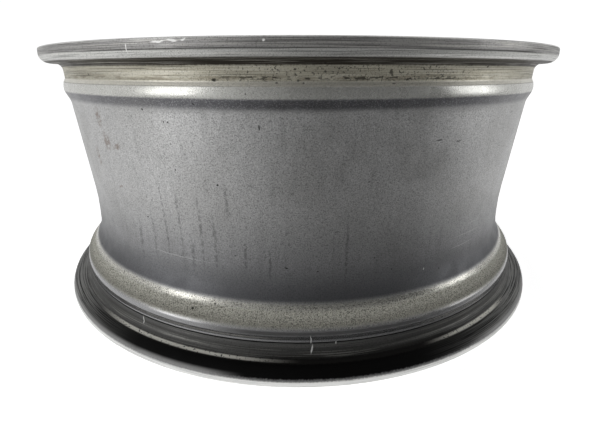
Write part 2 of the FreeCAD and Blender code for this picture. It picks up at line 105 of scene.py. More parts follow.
# Corners of the tyre side from the lip upwards
Corner = namedtuple("Corner", "name radius height round")
TYRE_SIDE = [
    Corner("lip_edge", TIP_RADIUS, 0.0, TIP_EDGE),
    Corner("outboard_shoulder", TIP_RADIUS, OUTBOARD_FACE, 11.0),
    Corner("outboard_fillet", SEAT_RADIUS, OUTBOARD_FACE, 6.5),
    Corner("seat_end", SEAT_END_RADIUS, OUTBOARD_FACE + SEAT_LENGTH, 6.0),
    Corner("hump", HUMP_RADIUS, OUTBOARD_FACE + HUMP_REACH, 11.0),
    Corner("ledge_foot", WELL_RADIUS, WELL_START, 40.0),
    Corner("well_end", WELL_RADIUS, WELL_END, 200.0),
    Corner("step_foot", STEP_RADIUS, INBOARD_FACE - STEP_REACH, 16.0),
    Corner("inboard_hump_start", HUMP_RADIUS, INBOARD_FACE - INBOARD_HUMP_START_REACH, 12.0),
    Corner("inboard_hump_end", HUMP_RADIUS, INBOARD_FACE - INBOARD_HUMP_END_REACH, 12.0),
    Corner("inboard_seat_end", SEAT_END_RADIUS, INBOARD_FACE - SEAT_LENGTH, 4.0),
    Corner("inboard_fillet", SEAT_RADIUS, INBOARD_FACE, 6.5),
    Corner("inboard_shoulder", TIP_RADIUS, INBOARD_FACE, 8.0),
    Corner("top_edge", TIP_RADIUS, WHEEL_HEIGHT, TIP_EDGE),
]
ARC_STEP = math.radians(9)
LONGEST_RUN = 8.0

SHARP_ANGLE = math.radians(32)
WELD_DISTANCE = 0.01
ON_EDGE = 0.2

# Order of the wheel's materials
TYRE_SIDE_SLOT = 0
INSIDE_SLOT = 1
BARE_SLOT = 2


def rounded_profile(corners, start, end):
    """Points from start to end with every corner rounded, and the run at each point."""
    corner_places = [Vector((corner.radius, corner.height)) for corner in corners]
    places = [Vector(start)] + corner_places + [Vector(end)]
    points = [places[0]]
    runs = [0.0]

    def go_to(point):
        """Adds points to a straight stretch, none further apart than the longest run."""
        first = points[-1]
        first_run = runs[-1]
        gap = (point - first).length
        count = math.ceil(gap / LONGEST_RUN)
        for i in range(1, count + 1):
            points.append(first.lerp(point, i / count))
            runs.append(first_run + gap * i / count)

    for i, corner in enumerate(corners, start=1):
        radius = corner.round
        before = (places[i] - places[i - 1]).normalized()
        after = (places[i + 1] - places[i]).normalized()
        turn = before.angle_signed(after)
        go_to(places[i] - before * radius * math.tan(abs(turn) / 2))
        arrival = points[-1].copy()
        side = Vector((before.y, -before.x)) if turn > 0 else Vector((-before.y, before.x))
        centre = arrival + side * radius
        spoke = arrival - centre
        count = max(2, math.ceil(abs(turn) / ARC_STEP))
        for k in range(1, count + 1):
            cosine = math.cos(turn * k / count)
            sine = math.sin(turn * k / count)
            turned = Vector((spoke.x * cosine + spoke.y * sine, spoke.y * cosine - spoke.x * sine))
            go_to(centre + turned)
    go_to(places[-1])
    return points, runs


PROFILE, PROFILE_RUNS = rounded_profile(
    TYRE_SIDE, (LIP_EDGE_RADIUS, 0.0), (LIP_EDGE_RADIUS, WHEEL_HEIGHT))


def reach_of(point):
    """Distance of a point from the wheel axis."""
    return math.hypot(point.x, point.y)


def edge_loop(bm, height):
    """Vertices of the outer edge of a lip, in order round the axis."""
    def on_edge(place):
        level = abs(place.z - height) < ON_EDGE
        return level and abs(reach_of(place) - LIP_EDGE_RADIUS) < ON_EDGE

    loop = [vertex for vertex in bm.verts if on_edge(vertex.co)]
    return sorted(loop, key=lambda vertex: math.atan2(vertex.co.y, vertex.co.x))


def near_valve(vertex):
    """Whether a vertex lies in the valve hole or on its wall."""
    offset = vertex.co - VALVE_CENTRE
    across = offset - VALVE_AXIS * offset.dot(VALVE_AXIS)
    return vertex.co.x > 0 and across.length < VALVE_RADIUS + ON_EDGE


def flood(start, barrier):
    """All faces that can be reached from one face without crossing a barrier edge."""
    found = {start}
    waiting = [start]
    while waiting:
        face = waiting.pop()
        for edge in face.edges:
            if barrier(edge):
                continue
            for neighbour in edge.link_faces:
                if neighbour not in found:
                    found.add(neighbour)
                    waiting.append(neighbour)
    return found


def open_tyre_side(bm, lip, top):
    """Takes the tyre side off the frame's mesh and closes the valve hole."""
    edges = set(lip) | set(top)

    def barrier(edge):
        return all(v in edges for v in edge.verts) or all(near_valve(v) for v in edge.verts)

    start = max(bm.faces, key=lambda face: reach_of(face.calc_center_median()))
    tyre_side = flood(start, barrier)
    hole_wall = [face for face in bm.faces if all(near_valve(vertex) for vertex in face.verts)]
    bmesh.ops.delete(bm, geom=list(tyre_side | set(hole_wall)), context="FACES")
    rim = [edge for edge in bm.edges if edge.is_boundary and all(near_valve(v) for v in edge.verts)]
    bmesh.ops.edgeloop_fill(bm, edges=rim)


def slot_for(face):
    """Material of a face of the inner side: bare metal on the hub face and in the bore."""
    centre = face.calc_center_median()
    on_hub_face = abs(centre.z - HUB_FACE) < ON_EDGE
    in_bore = reach_of(centre) < BORE_RADIUS + ON_EDGE
    return BARE_SLOT if on_hub_face or in_bore else INSIDE_SLOT


def turn_profile(bm, lip, top):
    """Turns the tyre side about the axis, from one lip edge to the other."""
    rings = [lip]
    for point in PROFILE[1:-1]:
        ring = []
        for vertex in lip:
            direction = vertex.co.xy.normalized() * point.x
            ring.append(bm.verts.new((direction.x, direction.y, point.y)))
        rings.append(ring)
    rings.append(top)
    count = len(lip)
    for lower, upper in zip(rings, rings[1:]):
        for i in range(count):
            j = (i + 1) % count
            face = bm.faces.new((lower[i], lower[j], upper[j], upper[i]))
            face.material_index = TYRE_SIDE_SLOT


def mesh_object(name, bm, materials):
    """An object in the scene from a mesh in millimetres."""
    bmesh.ops.scale(bm, vec=(MM, MM, MM), verts=bm.verts)
    mesh = bpy.data.meshes.new(name)
    bm.to_mesh(mesh)
    bm.free()
    for material in materials:
        mesh.materials.append(material)
    made = bpy.data.objects.new(name, mesh)
    bpy.context.scene.collection.objects.link(made)
    return made


VALVE_DEPTH = 12.0
VALVE_BEVEL = 0.9
VALVE_SIDES = 48


def valve_drill(materials):
    """The tool that cuts the valve hole, with a bevel at the mouth on the ledge."""
    mouth = VALVE_LAND / 2
    stations = [
        (-VALVE_DEPTH, VALVE_RADIUS),
        (mouth - VALVE_BEVEL, VALVE_RADIUS),
        (mouth + VALVE_DEPTH, VALVE_RADIUS + VALVE_BEVEL + VALVE_DEPTH),
    ]
    bm = bmesh.new()
    spin = VALVE_AXIS.to_track_quat("Z", "X")
    rings = []
    for along, radius in stations:
        ring = []
        for i in range(VALVE_SIDES):
            angle = math.tau * i / VALVE_SIDES
            offset = spin @ Vector((radius * math.cos(angle), radius * math.sin(angle), along))
            ring.append(bm.verts.new(VALVE_CENTRE + offset))
        rings.append(ring)
    bm.faces.new(rings[0])
    bm.faces.new(rings[-1])
    for lower, upper in zip(rings, rings[1:]):
        for i in range(VALVE_SIDES):
            j = (i + 1) % VALVE_SIDES
            bm.faces.new((lower[i], lower[j], upper[j], upper[i]))
    for face in bm.faces:
        face.material_index = BARE_SLOT
    bmesh.ops.recalc_face_normals(bm, faces=bm.faces)
    return mesh_object("valve_drill", bm, materials)


def cut_valve_hole(wheel, materials):
    """Cuts the valve hole and keeps the result as the wheel's own mesh."""
    drill = valve_drill(materials)
    modifier = wheel.modifiers.new("valve_hole", "BOOLEAN")
    modifier.operation = "DIFFERENCE"
    modifier.solver = "EXACT"
    modifier.object = drill
    graph = bpy.context.evaluated_depsgraph_get()
    solid = wheel.data
    wheel.data = bpy.data.meshes.new_from_object(wheel.evaluated_get(graph))
    wheel.modifiers.clear()
    wheel.data.name = solid.name + "_drilled"
    bpy.data.meshes.remove(solid)
    bpy.data.objects.remove(drill)


def store_run(mesh):
    """Keeps the run of every vertex, taken at the nearest place of the section."""
    count = len(mesh.vertices)
    places = numpy.empty(count * 3)
    mesh.vertices.foreach_get("co", places)
    places = places.reshape(count, 3) / MM
    section = numpy.column_stack((numpy.hypot(places[:, 0], places[:, 1]), places[:, 2]))
    best_gap = numpy.full(count, numpy.inf)
    best_run = numpy.zeros(count)
    for i in range(len(PROFILE) - 1):
        start = numpy.array(PROFILE[i])
        along = numpy.array(PROFILE[i + 1]) - start
        share = numpy.clip((section - start) @ along / (along @ along), 0.0, 1.0)
        gap = numpy.linalg.norm(section - start - share[:, None] * along, axis=1)
        run = PROFILE_RUNS[i] + share * (PROFILE_RUNS[i + 1] - PROFILE_RUNS[i])
        best_run = numpy.where(gap < best_gap, run, best_run)
        best_gap = numpy.minimum(gap, best_gap)
    mesh.attributes.new("run", "FLOAT", "POINT").data.foreach_set("value", best_run)


def shade_by_angle(mesh):
    """Smooth shading with sharp edges. The frame's own normals go: they don't fit the new faces."""
    frame_normals = mesh.attributes.get("custom_normal")
    if frame_normals:
        mesh.attributes.remove(frame_normals)
    mesh.shade_smooth()
    mesh.set_sharp_from_angle(angle=SHARP_ANGLE)


def make_wheel(materials):
    """The wheel as one mesh: the frame's inner side and a rounded tyre side."""
    bm = bmesh.new()
    bm.from_mesh(frame["nodes"][NODE].data)
    bmesh.ops.scale(bm, vec=(1 / MM, 1 / MM, 1 / MM), verts=bm.verts)
    bmesh.ops.remove_doubles(bm, verts=bm.verts, dist=WELD_DISTANCE)
    lip = edge_loop(bm, 0.0)
    top = edge_loop(bm, WHEEL_HEIGHT)
    open_tyre_side(bm, lip, top)
    for face in bm.faces:
        face.material_index = slot_for(face)
    turn_profile(bm, lip, top)
    bmesh.ops.recalc_face_normals(bm, faces=bm.faces)
    wheel = mesh_object("wheel_casting", bm, materials)
    cut_valve_hole(wheel, materials)
    store_run(wheel.data)
    shade_by_angle(wheel.data)
    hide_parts(NODE)
    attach(wheel, "root")
    return wheel


class Nodes:
    """Short calls that add nodes to a node tree and return an output of the new node."""

    DOT_CORE = 0.4
    CHOICE_SOFT = 0.05

    def __init__(self, tree):
        self.tree = tree

    def add(self, kind, inputs, output=0, **settings):
        """A node with its settings and its inputs, each a constant or another node's output."""
        node = self.tree.nodes.new(kind)
        for name, value in settings.items():
            setattr(node, name, value)
        for key, value in inputs.items():
            self.feed(node.inputs[key], value)
        return node.outputs[output]

    def feed(self, socket, value):
        """Links an output to an input, or sets the input to a constant."""
        if isinstance(value, bpy.types.NodeSocket):
            self.tree.links.new(value, socket)
        else:
            socket.default_value = value

    def math(self, operation, *values):
        """A sum, product or other number from one to three numbers."""
        return self.add("ShaderNodeMath", dict(enumerate(values)), operation=operation)

    def vector(self, operation, *values):
        """A vector worked out from vectors."""
        return self.add("ShaderNodeVectorMath", dict(enumerate(values)), operation=operation)

    def product(self, *values):
        """All values multiplied."""
        result = values[0]
        for value in values[1:]:
            result = self.math("MULTIPLY", result, value)
        return result

    def sum(self, *values):
        """All values added."""
        result = values[0]
        for value in values[1:]:
            result = self.math("ADD", result, value)
        return result

    def largest(self, values):
        """The largest of many values."""
        result = values[0]
        for value in values[1:]:
            result = self.math("MAXIMUM", result, value)
        return result

    def fade(self, value, low, high, start=0.0, end=1.0):
        """A smooth change from start, where value is low, to end, where it is high."""
        inputs = {"Value": value, "From Min": low, "From Max": high, "To Min": start, "To Max": end}
        return self.add("ShaderNodeMapRange", inputs, interpolation_type="SMOOTHSTEP")

    def band(self, value, low, high, soft):
        """1 between low and high, and 0 outside them."""
        rise = self.fade(value, low - soft, low + soft)
        fall = self.fade(value, high + soft, high - soft)
        return self.math("MULTIPLY", rise, fall)

    def mix(self, share, first, second):
        """A colour between two colours."""
        inputs = {0: share, 6: first, 7: second}
        return self.add("ShaderNodeMix", inputs, output=2, data_type="RGBA")

    def blend(self, share, first, second):
        """A number between two numbers."""
        return self.add("ShaderNodeMix", {0: share, 2: first, 3: second}, data_type="FLOAT")

    def parts(self, vector):
        """The three numbers of a vector."""
        return self.add("ShaderNodeSeparateXYZ", {0: vector}).node.outputs[:]

    def join(self, x, y, z):
        """A vector from three numbers."""
        return self.add("ShaderNodeCombineXYZ", {0: x, 1: y, 2: z})

    def noise(self, vector, size, detail=2.0):
        """Soft random spots of about one size, in millimetres, from 0 to 1."""
        inputs = {"Vector": vector, "Scale": 1 / size, "Detail": detail}
        return self.add("ShaderNodeTexNoise", inputs)

    def dots(self, vector, spacing, radius, share):
        """Small round dots on some of the cells of a random grid."""
        inputs = {"Vector": vector, "Scale": 1 / spacing}
        distance = self.add("ShaderNodeTexVoronoi", inputs)
        draw = self.parts(distance.node.outputs["Color"])[0]
        chosen = self.fade(draw, 1 - share, 1 - share + self.CHOICE_SOFT)
        near = self.fade(distance, radius / spacing, self.DOT_CORE * radius / spacing)
        return self.math("MULTIPLY", near, chosen)

    def place(self):
        """The place on the object in millimetres."""
        place = self.add("ShaderNodeTexCoord", {}, output="Object")
        return self.add("ShaderNodeVectorMath", {0: place, "Scale": 1 / MM}, operation="SCALE")

    def stretched(self, vector, x, y, z):
        """A vector with each of its numbers scaled."""
        return self.vector("MULTIPLY", vector, (x, y, z))

    def bump(self, height):
        """Normals for a height in millimetres."""
        return self.add("ShaderNodeBump", {"Height": height, "Distance": MM})


def new_material(name):
    """A material, its nodes and its shader."""
    material = bpy.data.materials.new(name)
    material.use_nodes = True
    return material, Nodes(material.node_tree), material.node_tree.nodes["Principled BSDF"]


def screen(red, green, blue):
    """A colour from the values, 0 to 255, that it has on a screen with the sRGB curve."""
    def linear(value):
        share = value / 255
        return share / 12.92 if share <= 0.04045 else ((share + 0.055) / 1.055) ** 2.4
    return (linear(red), linear(green), linear(blue), 1.0)


# Zones of the tyre side in order of run: where each starts, how soft and how ragged its edge is
Zone = namedtuple("Zone", "name start soft ragged colour roughness metallic")
LIP = Zone("lip", 0.0, 0.0, 0.0, screen(244, 244, 242), 0.35, 0.0)
ZONES = [
    Zone("lip_dust", 5.8, 0.8, 0.6, screen(120, 120, 120), 0.45, 0.3),
    Zone("rubber", 7.4, 0.8, 1.0, screen(8, 8, 8), 0.55, 0.0),
    Zone("rubber_edge", 18.6, 1.0, 1.4, screen(38, 37, 36), 0.45, 0.4),
    Zone("seat", 23.5, 0.8, 1.2, screen(80, 80, 79), 0.45, 0.8),
    Zone("seat_end", 31.0, 2.0, 0.3, screen(104, 104, 103), 0.38, 0.85),
    Zone("hump", 36.0, 0.4, 0.1, screen(162, 162, 163), 0.17, 0.9),
    Zone("ledge", 47.6, 2.4, 1.6, screen(164, 163, 154), 0.60, 0.25),
    Zone("clean_strip", 60.3, 2.0, 3.0, screen(190, 189, 182), 0.22, 0.85),
    Zone("barrel", 65.4, 2.2, 2.4, screen(190, 190, 190), 0.40, 0.9),
    # The step's dark colour is painted shade on the slope under the crest
    Zone("step", 214.2, 2.6, 0.4, screen(114, 114, 118), 0.32, 0.9),
    Zone("crest", 221.8, 0.9, 0.4, screen(204, 204, 199), 0.26, 0.9),
    Zone("hump_back", 229.8, 0.5, 0.4, screen(214, 211, 200), 0.34, 0.85),
    Zone("inboard_seat", 233.4, 0.5, 0.4, screen(182, 178, 162), 0.44, 0.75),
    # The flange face's dark brown is partly dirt and partly painted shade under the flange
    Zone("flange_face", 243.6, 0.9, 0.8, screen(52, 48, 43), 0.45, 0.7),
    Zone("shoulder", 258.4, 0.8, 0.4, screen(216, 216, 213), 0.36, 0.9),
    Zone("outer_band", 264.6, 0.6, 0.5, screen(156, 155, 154), 0.46, 0.85),
    Zone("top_edge", 270.6, 0.4, 0.3, screen(226, 226, 224), 0.35, 0.6),
]
STARTS = {zone.name: zone.start for zone in ZONES}

# Marks on the tyre side, each with its turn in degrees, its run, its width round the rim, its
# length along the section and its tilt in degrees
MARK_RADIUS = 250.0
DRIPS = [
    (-26.2, 122, 3.2, 92, 0), (-22.7, 122, 3.0, 88, 0), (-18.2, 118, 3.6, 82, 0),
    (-15.5, 111, 3.8, 72, 0), (-12.5, 146, 3.6, 38, 0), (-9.7, 101, 3.6, 36, 0),
    (-29.8, 112, 4.0, 60, 0), (8.8, 108, 2.6, 70, 0), (-34.0, 100, 6.0, 50, 0),
    (-5.2, 96, 3.0, 34, 0), (-20.4, 96, 4.4, 40, 0),
]
SPECKS = [
    (-30.8, 123.0, 2.4, 2.0, 0), (-13.7, 158.9, 2.0, 2.4, 0), (-6.0, 202.0, 1.6, 5.0, 0),
    (-16.1, 218.0, 2.0, 1.8, 0), (-21.6, 168.0, 2.0, 2.0, 0), (-2.2, 93.6, 3.8, 1.9, -25),
    (3.5, 90.7, 2.2, 1.8, 0), (18.0, 86.8, 2.4, 1.7, 0), (11.9, 162.0, 2.0, 2.0, 0),
    (13.5, 161.0, 2.2, 1.8, 0), (6.8, 123.0, 8.0, 1.8, 18), (14.3, 98.5, 1.8, 1.6, 0),
    (-22.4, 204.0, 1.8, 1.8, 0), (-21.6, 204.0, 1.8, 1.8, 0), (29.6, 78.0, 1.8, 1.6, 0),
    (-26.4, 212.3, 2.4, 2.0, 0), (24.4, 190.0, 9.0, 1.2, 4), (29.0, 188.0, 7.0, 1.2, 4),
    (-55.7, 67.8, 2.6, 2.4, 0), (-39.7, 62.8, 2.0, 3.8, 25), (-19.5, 55.0, 3.0, 2.6, 20),
    (-15.4, 60.9, 2.4, 2.0, 0), (-48.0, 60.9, 2.0, 1.8, 0), (-39.8, 237.4, 1.4, 3.0, 20),
    (-12.5, 234.0, 4.4, 3.0, 0), (-3.1, 232.3, 2.6, 1.8, 0), (0.0, 234.0, 2.4, 2.0, 0),
    (0.7, 232.3, 2.0, 1.6, 0), (3.8, 245.0, 2.8, 2.4, 0), (3.9, 239.4, 2.4, 2.0, 0),
    (5.9, 241.0, 2.2, 2.0, 0), (13.7, 239.4, 4.0, 4.6, 0), (14.2, 231.6, 4.6, 1.6, 8),
    (32.5, 243.0, 2.6, 2.0, 0), (28.4, 244.0, 2.0, 1.8, 0),
]
SMUDGES = [
    (-40.0, 203, 12, 22, 0), (-39.0, 184, 14, 20, 10), (-35.8, 180, 16, 7, 20),
    (-44.6, 168, 9, 22, 0), (-37.4, 145, 14, 3, 12),
]
SCRATCHES = [
    (2.1, 38.5, 1.2, 10.0, 3), (2.3, 30.5, 1.3, 10.0, -10), (6.4, 35.0, 0.9, 3.4, 0),
    (-30.9, 31.5, 1.3, 8.5, 0), (25.6, 81.2, 1.0, 3.0, -10), (-18.4, 268.8, 12, 1.6, 4),
    (-16.2, 269.4, 9, 1.8, -8), (-14.6, 270.0, 5, 1.4, 20), (-4.2, 268.8, 2.0, 2.4, 10),
    (-23.6, 265.0, 1.0, 9.0, 0),
]
LONG_SCRATCHES = [
    (-24.0, 94.0, 88, 0.8, -1.5), (38.5, 101.5, 54, 0.8, 0),
    (37.0, 92.0, 50, 0.8, 1), (40.5, 110.0, 30, 0.8, 2),
]

# Narrow bands of single layers, by run
Band = namedtuple("Band", "low high soft")
RUBBED_BAND = Band(6.2, 9.4, 1.4)
SCRAPED_SHEEN_BAND = Band(19.8, 22.8, 0.7)
SMEARED_BAND = Band(22.4, 26.0, 1.6)
GROOVE = Band(34.9, 36.0, 0.2)
HUMP_EDGE_SHADE = Band(42.0, 45.4, 0.9)
THIN_LINE = Band(229.6, 230.2, 0.3)
STAINED_BAND = Band(233.8, 237.0, 0.8)
CRUMB_LINE = Band(234.4, 236.6, 0.5)
SCORED_LINE = Band(264.1, 265.1, 0.3)

# Sectors of the wheel, in degrees
Sector = namedtuple("Sector", "middle half_width soft")
WHOLE_RUBBER = Sector(-4.0, 24.0, 28.0)
BLACK_LIP = Sector(4.0, 24.0, 14.0)
RUBBED_LEFT = Sector(-21.0, 5.0, 8.0)
SCRAPED_SHEEN_LEFT = Sector(-22.0, 9.0, 14.0)
SCRAPED_SHEEN_RIGHT = Sector(36.0, 5.0, 9.0)
SMEARED_FRONT = Sector(13.0, 14.0, 9.0)
LIP_REFLECTING_FRONT = Sector(0.0, 30.0, 40.0)
SCORED_FRONT = Sector(4.0, 30.0, 16.0)
CRUMB_LINE_FRONT = Sector(8.0, 10.0, 18.0)
CRUMBS_FRONT = Sector(8.0, 10.0, 22.0)
HUMP_EDGE_SHADE_FRONT = Sector(6.0, 13.0, 13.0)

# Runs between which a layer fades
LEDGE_SHADE_NONE = 58.0
LEDGE_SHADE_FULL = 47.0
# Painted shade with grime, low on the barrel and in the corner above the ledge
SHADE_AND_GRIME_NONE = 150.0
SHADE_AND_GRIME_FULL = 62.0
CORNER_SHADE_AND_GRIME_NONE = 98.0
CORNER_SHADE_AND_GRIME_FULL = 66.0

# Colours of the layers
THIN_RUBBER = screen(116, 116, 114)
RUBBED_LIP = screen(168, 168, 167)
BARED_METAL_SHEEN = screen(236, 234, 225)
SMEARED_RUBBER = screen(14, 14, 14)
LIP_SIDE_SHADE = screen(150, 150, 150)
LIP_LINES = screen(110, 110, 110)
DARK_LINES = screen(58, 56, 50)
PALE_LINES = screen(222, 220, 212)
SEAT_STAIN = screen(92, 80, 60)
SEAT_DIRT = screen(40, 38, 33)
CUT_BLACK = screen(8, 8, 8)
DARK_GRAIN = screen(88, 87, 84)
PALE_GRAIN = screen(236, 236, 234)
DARK_LEDGE_GRAIN = screen(54, 53, 48)
PALE_LEDGE_GRAIN = screen(220, 218, 205)
LEDGE_SHADE = screen(72, 70, 62)
CAST_STAIN = screen(116, 114, 108)
PIT = screen(34, 33, 31)
# Painted shade with grime: bluish dark low on the barrel, darker in its corner
FOOT_SHADE_AND_GRIME = screen(92, 93, 97)
CORNER_SHADE_AND_GRIME = screen(54, 55, 59)
DRIP = screen(56, 56, 57)
HANGING_DIRT = screen(84, 83, 80)
SMUDGE = screen(118, 98, 84)
CRUMB_AND_SHADE = screen(24, 23, 20)
SCRATCH = screen(240, 240, 238)
LONG_SCRATCH = screen(226, 226, 224)


class TyreSide:
    """The surface of the tyre side while its layers are laid on, one over the other."""

    WANDER = 1.0
    WANDER_SIZE = 5.0
    MARK_CORE = 0.4

    def __init__(self, nodes):
        self.nodes = nodes
        self.place = nodes.place()
        x, y, _ = nodes.parts(self.place)
        self.run = nodes.add("ShaderNodeAttribute", {}, output="Fac", attribute_name="run")
        self.turn = nodes.math("ARCTAN2", x, nodes.math("MULTIPLY", y, -1.0))
        self.surface = self.wandering(nodes.math("MULTIPLY", self.turn, MARK_RADIUS))
        self.streak = nodes.noise(self.drawn_out(share=0.008), size=0.5)
        self.ragged = nodes.noise(self.place, size=1.6, detail=3.0)
        self.grain = nodes.noise(self.place, size=0.85)
        self.pepper = nodes.fade(self.grain, 0.53, 0.64)
        self.bright = nodes.fade(self.grain, 0.47, 0.36)
        self.broken = nodes.fade(nodes.noise(self.place, size=3.0, detail=3.0), 0.34, 0.60)
        self.colour = LIP.colour
        self.roughness = LIP.roughness
        self.metallic = LIP.metallic
        self.height = 0.0

    def wandering(self, arc):
        """Places on the unrolled surface, pushed about a little to give marks ragged edges."""
        nodes = self.nodes
        inputs = {"Vector": self.place, "Scale": 1 / self.WANDER_SIZE}
        push = nodes.add("ShaderNodeTexNoise", inputs, output="Color")
        push = nodes.vector("SUBTRACT", push, (0.5, 0.5, 0.5))
        push = nodes.stretched(push, 2 * self.WANDER, 2 * self.WANDER, 0.0)
        return nodes.vector("ADD", nodes.join(arc, self.run, 0.0), push)

    def drawn_out(self, share):
        """Places for a pattern drawn out round the wheel, the more the smaller the share."""
        nodes = self.nodes
        around = nodes.stretched(self.place, share, share, 0.0)
        return nodes.vector("ADD", around, nodes.join(0.0, 0.0, self.run))

    def within(self, band):
        """1 in a narrow band, and 0 away from it."""
        return self.nodes.band(self.run, band.low, band.high, band.soft)

    def over(self, first, after, soft=0.8):
        """1 from the start of one zone to the start of another, and 0 away from them."""
        return self.nodes.band(self.run, STARTS[first], STARTS[after], soft)

    def sector(self, sector):
        """1 in a sector of the wheel, and 0 away from it."""
        nodes = self.nodes
        offset = nodes.math("SUBTRACT", self.turn, math.radians(sector.middle))
        reach = sector.half_width + sector.soft
        away = nodes.math("ABSOLUTE", offset)
        return nodes.fade(away, math.radians(reach), math.radians(sector.half_width))

    def outside(self, sector):
        """0 in a sector of the wheel, and 1 away from it."""
        return self.nodes.math("SUBTRACT", 1.0, self.sector(sector))

    def mark(self, turn, run, width, length, tilt):
        """1 in the middle of a mark on the surface, and 0 outside it."""
        nodes = self.nodes
        centre = (math.radians(turn) * MARK_RADIUS, run, 0.0)
        offset = nodes.vector("SUBTRACT", self.surface, centre)
        if tilt:
            inputs = {"Vector": offset, "Angle": math.radians(-tilt)}
            offset = nodes.add("ShaderNodeVectorRotate", inputs, rotation_type="Z_AXIS")
        scaled = nodes.vector("DIVIDE", offset, (width / 2, length / 2, 1.0))
        inputs = {0: scaled}
        distance = nodes.add("ShaderNodeVectorMath", inputs, output="Value", operation="LENGTH")
        return nodes.fade(distance, 1.0, self.MARK_CORE)

    def marks(self, listed):
        """The largest of many marks."""
        return self.nodes.largest([self.mark(*entry) for entry in listed])

    def coat(self, share, colour, strength=1.0, metallic=None, roughness=None):
        """Lays a colour over the surface where share says, with its shine if given."""
        nodes = self.nodes
        share = nodes.math("MULTIPLY", share, strength)
        self.colour = nodes.mix(share, self.colour, colour)
        if metallic is not None:
            self.metallic = nodes.blend(share, self.metallic, metallic)
        if roughness is not None:
            self.roughness = nodes.blend(share, self.roughness, roughness)

    def lift(self, share, height):
        """Raises the surface where share says, by a height in millimetres."""
        self.height = self.nodes.math("MULTIPLY_ADD", share, height, self.height)


def lay_zones(side):
    """The zones of the section, each with its own colour and shine."""
    nodes = side.nodes
    ragged = nodes.math("MULTIPLY_ADD", side.ragged, 2.0, -1.0)
    for zone in ZONES:
        edge = nodes.math("MULTIPLY_ADD", ragged, zone.ragged, side.run)
        share = nodes.fade(edge, zone.start - zone.soft, zone.start + zone.soft)
        side.coat(share, zone.colour, metallic=zone.metallic, roughness=zone.roughness)


def wear_rubber(side):
    """Tyre rubber on the outboard flange, thin at the sides and worn along both edges, with painted
    highlights on its scraped edge.
    """
    nodes = side.nodes
    on_rubber = side.over("rubber", "seat")
    lines = nodes.fade(side.streak, 0.38, 0.56)
    thin = nodes.product(on_rubber, side.outside(WHOLE_RUBBER), lines)
    side.coat(thin, THIN_RUBBER, metallic=0.7, roughness=0.42)
    worn = nodes.largest([side.sector(RUBBED_LEFT), side.outside(BLACK_LIP)])
    rubbed = nodes.product(side.within(RUBBED_BAND), worn)
    side.coat(rubbed, RUBBED_LIP, strength=0.6, metallic=0.2, roughness=0.45)
    # Painted highlight over bared metal: the scraped edge is painted bright only at the two sides
    # where highlights fall
    sheen_sides = nodes.largest([side.sector(SCRAPED_SHEEN_LEFT), side.sector(SCRAPED_SHEEN_RIGHT)])
    patchy = nodes.fade(side.ragged, 0.32, 0.44)
    scraped_sheen = nodes.product(side.within(SCRAPED_SHEEN_BAND), sheen_sides, patchy)
    side.coat(scraped_sheen, BARED_METAL_SHEEN, metallic=0.2, roughness=0.36)
    smeared = nodes.product(side.within(SMEARED_BAND), side.sector(SMEARED_FRONT))
    side.coat(smeared, SMEARED_RUBBER, strength=0.75, metallic=0.2, roughness=0.5)
    side.lift(nodes.product(on_rubber, side.streak), height=0.05)


def lip_sheen_and_lines(side):
    """Painted reflection: the lip is bright in front and greyer towards the sides; fine lines run
    round it.
    """
    nodes = side.nodes
    on_lip = nodes.fade(side.run, STARTS["rubber"], STARTS["lip_dust"])
    lines = nodes.fade(side.streak, 0.54, 0.62)
    side.coat(nodes.product(on_lip, side.outside(LIP_REFLECTING_FRONT)), LIP_SIDE_SHADE, strength=0.45)
    side.coat(nodes.product(on_lip, lines), LIP_LINES, strength=0.4)


def cut_turning_marks(side):
    """Fine dark and pale lines round the machined zones, dirt in them, and two deeper cut lines."""
    nodes = side.nodes
    flange_fade = 1.5
    on_seat = side.over("seat", "hump")
    on_inboard_seat = side.over("inboard_seat", "flange_face")
    on_flange = nodes.fade(side.run, STARTS["flange_face"], STARTS["flange_face"] + flange_fade)
    turned = nodes.sum(nodes.product(on_seat, 0.35), on_inboard_seat, on_flange)
    dark = nodes.fade(side.streak, 0.51, 0.62)
    pale = nodes.fade(side.streak, 0.46, 0.35)
    side.coat(nodes.product(turned, dark), DARK_LINES, strength=0.55)
    side.coat(nodes.product(turned, pale), PALE_LINES, strength=0.45)
    clouds = nodes.noise(side.drawn_out(share=0.2), size=2.4, detail=3.0)
    cloudy = nodes.fade(clouds, 0.44, 0.62)
    side.coat(nodes.product(side.within(STAINED_BAND), cloudy), SEAT_STAIN, strength=0.4)
    machined = nodes.sum(on_seat, on_inboard_seat, on_flange)
    side.coat(nodes.product(machined, side.pepper), SEAT_DIRT, strength=0.35, metallic=0.4)
    scored = nodes.product(side.within(SCORED_LINE), side.sector(SCORED_FRONT), 0.75)
    cut = nodes.largest([side.within(GROOVE), scored])
    side.coat(cut, CUT_BLACK, metallic=0.0, roughness=0.5)
    side.lift(nodes.product(machined, side.streak), height=0.015)


